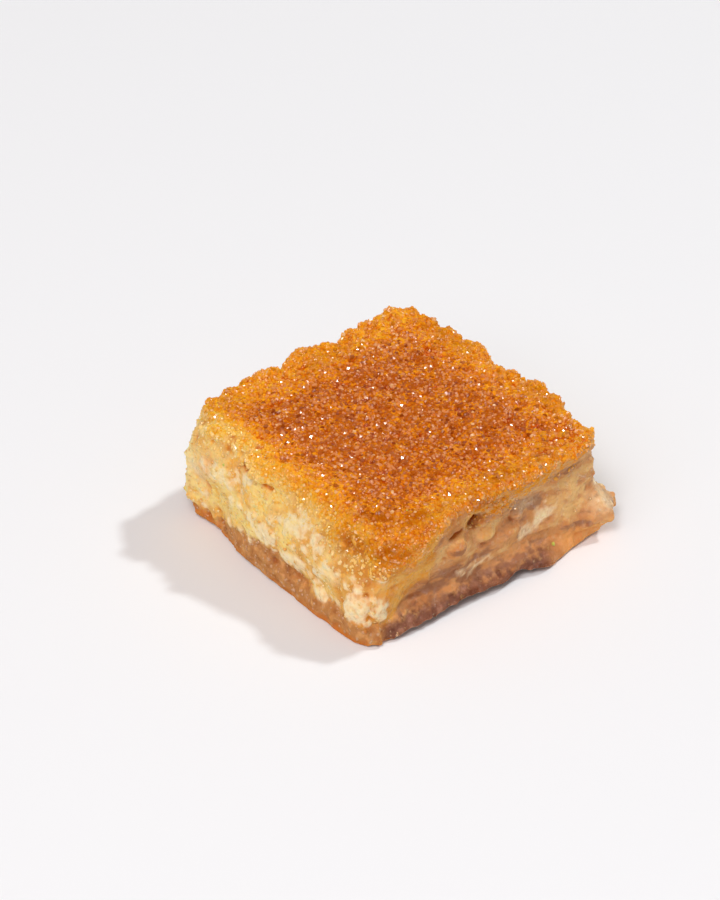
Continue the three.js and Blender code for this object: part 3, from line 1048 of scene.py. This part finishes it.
def crumb_colour(look, toast):
    """Pale crumb that turns golden in patches and browns into the crust, with painted shade on the slopes
    that face right.
    """
    colour = look.ramp(toast, CRUST_STOPS)
    golden = look.times(look.span(toast, 0.4, 0.12), look.read("golden"))
    colour = look.mix(golden, colour, GOLDEN_CRUMB)
    return look.mix(look.read("shaded"), colour, SIDE_SHADE, "MULTIPLY")


def shade_and_smear_colour(look, colour, share):
    """The shaded right wall: its crumb painted a darker pinkish tan as shade, with pale and dark smears
    of the knife.
    """
    colour = look.mix(share, colour, PINK_TAN_SHADE)
    drawn = look.noise(4.0, 3.0, 0.6, stretch=(1.0, 0.6, 1.3))
    colour = look.mix(look.times(share, look.span(drawn, 0.5, 0.64)), colour, PALE_SMEAR)
    return look.mix(look.times(share, look.span(drawn, 0.48, 0.36)), colour, DARK_SMEAR)


def base_colour(look, right):
    patch = look.noise(1.6, 3.0, 0.6)
    # The right wall takes the darker copy: painted shade
    base = look.mix(right, look.ramp(patch, BASE_STOPS), look.ramp(patch, SHADED_BASE_STOPS))
    base = look.mix(look.read("base_toast"), base, BASE_EDGE)
    # Painted light on the end of the bottom layer at the far right
    base = look.mix(look.times(look.read("base_end"), 0.85), base, LIT_BASE_END)
    return look.mix(look.span(look.noise(0.8, 2.0), 0.6, 0.75, 0.0, 0.4), base, BASE_SPECK)


def food_colour(look, amber, soaked):
    """One colouring for all the layers, so that none of them ends in a hard line."""
    toast = look.read("toast")
    toast = look.math("ADD", toast, look.span(look.noise(2.0, 3.0, 0.6), 0.3, 0.7, -0.18, 0.18))
    toast = look.math("ADD", toast, look.span(look.noise(0.5, 2.0, 0.6), 0.3, 0.7, -0.14, 0.14))
    colour = crumb_colour(look, toast)
    right = look.read("right_wall")
    pale = look.span(toast, 0.5, 0.25)
    colour = shade_and_smear_colour(look, colour, look.times(right, pale))
    colour = look.mix(amber, colour, AMBER)
    colour = look.mix(soaked, colour, DEEP_AMBER)
    uneven = look.span(look.noise(1.0, 2.0), 0.25, 0.75, -0.5, 0.5)
    ragged = look.math("ADD", look.read("over_base"), uneven)
    colour = look.mix(look.span(ragged, 0.9, -0.9), colour, base_colour(look, right))
    ridge = look.read("ridge")
    # Ridges get a warmer tint, and hollows get painted shade
    colour = look.mix(look.span(ridge, 0.12, 0.4, 0.0, 0.35), colour, RIDGE_TINT, "MULTIPLY")
    colour = look.mix(look.span(ridge, 0.0, -0.3), colour, HOLLOW_SHADE, "MULTIPLY")
    mottled = look.span(look.noise(0.8, 3.0), 0.32, 0.55, 0.55, 1.0)
    return look.mix(look.times(look.read("curd"), mottled), colour, CURD_COLOUR)


def crumb_bump(look, size):
    """Small wet lumps and hollows finer than the mesh."""
    height = look.math("SUBTRACT", look.noise(0.6 * size, 2.0, 0.6), look.cells(size))
    return look.bump(height, CRUMB_DEPTH)


def glitter_bump(look, depth, under):
    """The ripples of the syrup, whose slopes catch the light."""
    return look.bump(look.noise(RIPPLE_SIZE, 3.0, 0.6), depth, under)


def layer_look(name, wet, lump_size, ripple):
    """A layer's material: how wet it is, the size of its crumb and the height of its ripples."""
    look = Look(name)
    patchy = look.span(look.noise(1.5, 2.0), 0.3, 0.55)
    amber = look.times(look.read("amber"), patchy)
    soaked = look.times(look.read("soaked"), patchy)
    beads = look.span(look.noise(0.9, 3.0, 0.6), 0.48, 0.62, 0.08 * wet, wet)
    coat = look.times(beads, look.span(soaked, 0.0, 0.8, 1.0, 0.15))
    reach = look.span(look.read("toast"), 0.3, 0.8, CRUMB_TRAVEL * MM, CRUST_TRAVEL * MM)
    reach = look.times(reach, look.span(look.read("from_seam"), 0.0, 1.0, SEAM_TRAVEL, 1.0))
    crumb = crumb_bump(look, lump_size)
    damp(look, reach, coat, crumb, glitter_bump(look, ripple, crumb))
    look.set(Base_Color=food_colour(look, amber, soaked))
    return look.material


def grain_look():
    """Grains of the crust, each of its own tone, most in a coat that sparkles."""
    look = Look("crust_grains")
    tone = look.read("tone")
    toast = look.read("toast")
    browned = look.span(toast, 0.45, 0.85)
    colour = look.ramp(toast, CRUST_STOPS)
    colour = look.mix(look.times(look.read("amber"), 0.8), colour, AMBER)
    colour = look.mix(look.times(look.read("soaked"), 0.9), colour, DEEP_AMBER)
    colour = look.mix(look.times(browned, look.span(tone, 0.28, 0.0, 0.0, 0.9)), colour, GRAIN_DARK)
    colour = look.mix(look.times(browned, look.span(tone, 0.4, 0.7, 0.0, 0.75)), colour, GRAIN_PINK)
    colour = look.mix(look.span(tone, 0.95, 1.0, 0.0, 0.7), colour, GRAIN_PALE)
    # Painted shade where the crust faces right, away from the light
    colour = look.mix(look.read("shaded"), colour, SIDE_SHADE, "MULTIPLY")
    wet = look.math("FRACT", look.times(tone, TONE_SHUFFLE))
    look.set(
        Base_Color=colour,
        Roughness=0.4,
        Specular_IOR_Level=0.0,
        Coat_Weight=look.span(wet, 0.25, 0.4, 0.08, 1.0),
        Coat_Roughness=0.1,
        Coat_IOR=2.0,
        Normal=look.bump(look.noise(0.25, 2.0, 0.6), 0.05),
    )
    return look.material


def wall_grain_look():
    """Grains of the crumb, pale, and pinkish in the bottom layer and near the right wall, where the pink
    is painted shade.
    """
    look = Look("wall_grains")
    colour = look.ramp(look.read("tone"), WALL_GRAIN_STOPS)
    # Pink near the right wall is painted shade; in the bottom layer it is that layer's own colour
    colour = look.mix(look.read("right_wall"), colour, WALL_GRAIN_SHADE_AND_BASE)
    colour = look.mix(look.span(look.read("over_base"), 0.6, -0.6), colour, WALL_GRAIN_SHADE_AND_BASE)
    rough = look.bump(look.noise(0.3, 2.0, 0.6), WALL_GRAIN_BUMP)
    damp(look, WALL_GRAIN_TRAVEL * MM, 1.0, rough, look.bump(look.noise(0.2), WALL_GRAIN_BUMP))
    look.set(Base_Color=colour)
    return look.material


def pistachio_look():
    look = Look("pistachio")
    colour = look.mix(look.noise(0.3, 2.0), PISTACHIO, PALE_PISTACHIO)
    look.set(Base_Color=colour, Roughness=0.4, Coat_Weight=0.6, Normal=look.bump(look.noise(0.15), 0.02))
    return look.material


def bead_look():
    """Clear drops of syrup."""
    look = Look("syrup_beads")
    look.set(
        Base_Color=look.mix(look.noise(0.4, 2.0), SYRUP, PALE_SYRUP),
        Roughness=0.08,
        IOR=1.45,
        Transmission_Weight=0.8,
        Normal=look.bump(look.noise(0.5), 0.02),
    )
    return look.material


# ---- Floor, camera and light, in metres and degrees ----

CAMERA_AZIMUTH = 49.5
CAMERA_ELEVATION = 35.4
CAMERA_DISTANCE = 0.605
CAMERA_AIM = Vector((-0.01815, 0.00764, 0.0))
CAMERA_LENS = 150.0
CAMERA_NEAR = 0.01
FLOOR_SIZE = 6.0
FLOOR_COLOUR = (0.86, 0.855, 0.865, 1.0)
WARM = (1.0, 0.957, 0.954)
COOL = (0.91, 0.985, 1.0)
WORLD_STRENGTH = 0.28
# Each light's azimuth, elevation, distance, size, power and colour
LIGHTS = {
    "key": (167.0, 52.0, 2.0, 0.14, 15.8, COOL),
    "soft": (25.0, 50.0, 1.6, 1.4, 11.2, WARM),
    "spark": (30.0, 55.0, 1.6, 0.45, 7.6, WARM),
}


def direction(azimuth, elevation):
    """The way from the piece to something seen at an azimuth, 0 being in front, and an elevation."""
    azimuth, elevation = math.radians(azimuth), math.radians(elevation)
    level = math.cos(elevation)
    return Vector((math.sin(azimuth) * level, -math.cos(azimuth) * level, math.sin(elevation)))


def add_aimed(name, data, outward, distance, aim=Vector()):
    """A camera or a light at a distance from what it is turned to."""
    thing = bpy.data.objects.new(name, data)
    thing.location = aim + outward * distance
    thing.rotation_euler = outward.to_track_quat("Z", "Y").to_euler()
    scene.collection.objects.link(thing)
    return thing


def add_camera():
    """A long lens looks down on the corner where the two cut sides meet."""
    outward = direction(CAMERA_AZIMUTH, CAMERA_ELEVATION)
    data = bpy.data.cameras.new("camera")
    data.lens = CAMERA_LENS
    data.clip_start = CAMERA_NEAR
    scene.camera = add_aimed("camera", data, outward, CAMERA_DISTANCE, CAMERA_AIM)


def add_floor():
    look = Look("floor")
    look.set(Base_Color=FLOOR_COLOUR, Roughness=0.8, Specular_IOR_Level=0.1)
    bpy.ops.mesh.primitive_plane_add(size=FLOOR_SIZE)
    floor = bpy.context.object
    floor.name = "floor"
    paint(floor, look.material)


def add_light(name, azimuth, elevation, distance, size, power, colour):
    outward = direction(azimuth, elevation)
    data = bpy.data.lights.new(name, "AREA")
    data.size = size
    data.energy = power
    data.color = colour
    add_aimed(name, data, outward, distance)


def add_world():
    world = bpy.data.worlds.new("world")
    world.use_nodes = True
    background = world.node_tree.nodes["Background"]
    background.inputs["Color"].default_value = (*WARM, 1.0)
    background.inputs["Strength"].default_value = WORLD_STRENGTH
    scene.world = world


top_piece, filling_piece, base_piece = add_layers()
paint(top_piece, layer_look("top_dough", wet=1.0, lump_size=0.5, ripple=0.32))
paint(filling_piece, layer_look("cream_filling", wet=0.8, lump_size=0.8, ripple=0.3))
paint(base_piece, layer_look("base_dough", wet=0.35, lump_size=0.8, ripple=0.3))
paint(add_crust_grains(top_piece, rng), grain_look())
paint(add_wall_grains((top_piece, filling_piece, base_piece), rng), wall_grain_look())
paint(add_few("pistachio_specks", PISTACHIO_PLACES, PISTACHIO_SIZE, 0.3, rng), pistachio_look())
paint(add_few("syrup_beads", BEAD_PLACES, BEAD_SIZE, 0.06, rng), bead_look())

add_camera()
add_floor()
for light_name, settings in LIGHTS.items():
    add_light(light_name, *settings)
add_world()
scene.view_settings.view_transform = "Standard"
